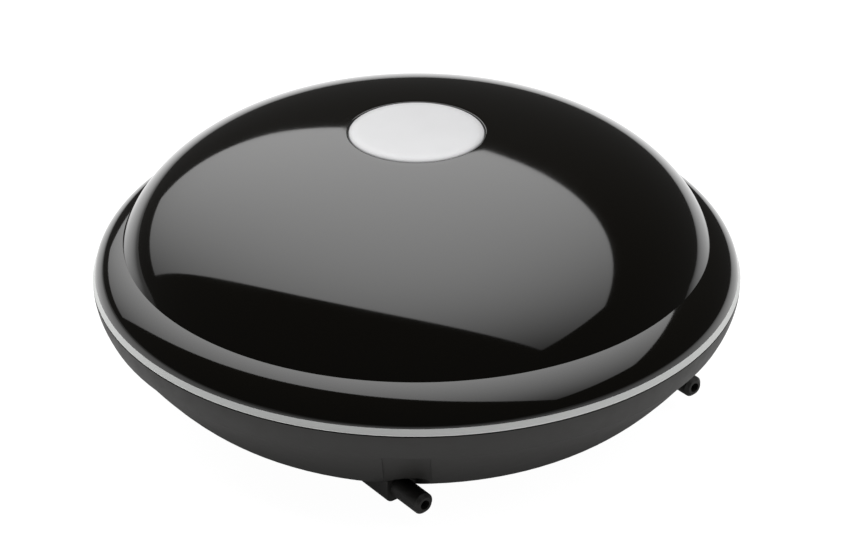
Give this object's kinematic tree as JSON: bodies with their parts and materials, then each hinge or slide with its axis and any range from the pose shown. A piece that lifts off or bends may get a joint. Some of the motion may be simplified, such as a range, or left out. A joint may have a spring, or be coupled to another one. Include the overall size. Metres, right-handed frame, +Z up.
{
  "type": "aquarium air pump",
  "caption": "Round domed aquarium air pump with a press button on top, a silver trim ring and two small air outlets low at the front.",
  "frame": {"origin": "on the case's axis, at the table plane that the foot ring rests on", "axes": "+Z up along the axis of the dome; the air outlets point towards -Y; +X is the pump's right seen from the back"},
  "size_m": [0.1787, 0.2034, 0.067],
  "materials": {
    "gloss_black": "gloss",
    "matte_black": "matte",
    "satin_silver": "satin",
    "white_cap": "satin",
    "dark_rubber": "matte",
    "felt": "felt",
    "steel": "satin",
    "core_steel": "oiled",
    "magnet": "plated",
    "copper": "enamelled",
    "frame_plastic": "moulded",
    "guide_plastic": "moulded",
    "board_green": "satin",
    "component": "satin",
    "lamp": "clear",
    "silicone": "translucent",
    "cord_rubber": "satin",
    "pin_metal": "nickel plated"
  },
  "bodies": {
    "case": {"top_cover": "gloss_black", "trim_ring": "satin_silver", "base_shell": "matte_black", "cover_seal": "dark_rubber", "case_screws": "steel", "foot_ring": "dark_rubber", "filter_cover": "matte_black", "filter_felt": "felt", "button_guide": "guide_plastic", "button_spring": "steel", "control_board": "board_green", "board_parts": "component", "tact_switch": "component", "status_leds": "lamp", "guide_screws": "steel", "board_screws": "steel", "laminated_core": "core_steel", "coil_bobbin": "guide_plastic", "coil_winding": "copper", "core_straps": "steel", "strap_screws": "steel", "pump_frame": "frame_plastic", "frame_mounts": "dark_rubber", "arm_pivot_pins": "steel", "inlet_flaps": "silicone", "outlet_flaps": "silicone", "head_screws": "steel", "strain_relief": "cord_rubber", "power_cord": "cord_rubber", "plug_body": "cord_rubber", "plug_pins": "pin_metal", "diaphragm_right": "dark_rubber", "diaphragm_left": "dark_rubber", "pump_head_right": "frame_plastic", "pump_head_left": "frame_plastic", "valve_plate_right": "guide_plastic", "valve_plate_left": "guide_plastic", "head_cover_right": "frame_plastic", "head_cover_left": "frame_plastic", "air_hose_right": "silicone", "air_hose_left": "silicone", "outlet_nozzle_right": "matte_black", "outlet_nozzle_left": "matte_black"},
    "button": {"push_button": "white_cap"},
    "plunger": {"switch_plunger": "guide_plastic"},
    "arm_right": {"swing_arm_right": "frame_plastic", "arm_magnet_right": "magnet", "diaphragm_hub_right": "guide_plastic"},
    "arm_left": {"swing_arm_left": "frame_plastic", "arm_magnet_left": "magnet", "diaphragm_hub_left": "guide_plastic"}
  },
  "joints": [
    {"name": "button_slide", "type": "slide", "parent": "case", "child": "button", "axis": [0, 0, -1], "range_m": [0, 0.001], "stiffness_N_per_m": 300, "springref_m": -0.004, "deforming": ["button_spring"]},
    {"name": "plunger_slide", "type": "slide", "parent": "case", "child": "plunger", "axis": [0, 0, -1], "range_m": [0, 0.001]},
    {"name": "arm_right_swing", "type": "hinge", "parent": "case", "child": "arm_right", "pos_m": [0.033, 0.04, 0.028], "axis": [0, 0, 1], "range_deg": [-1.2, 1.2], "deforming": ["diaphragm_right"]},
    {"name": "arm_left_swing", "type": "hinge", "parent": "case", "child": "arm_left", "pos_m": [-0.033, 0.04, 0.028], "axis": [0, 0, 1], "range_deg": [-1.2, 1.2], "deforming": ["diaphragm_left"]}
  ],
  "couplings": [
    {"joint": "plunger_slide", "follows": "button_slide", "ratio": 1},
    {"joint": "arm_left_swing", "follows": "arm_right_swing", "ratio": -1}
  ]
}
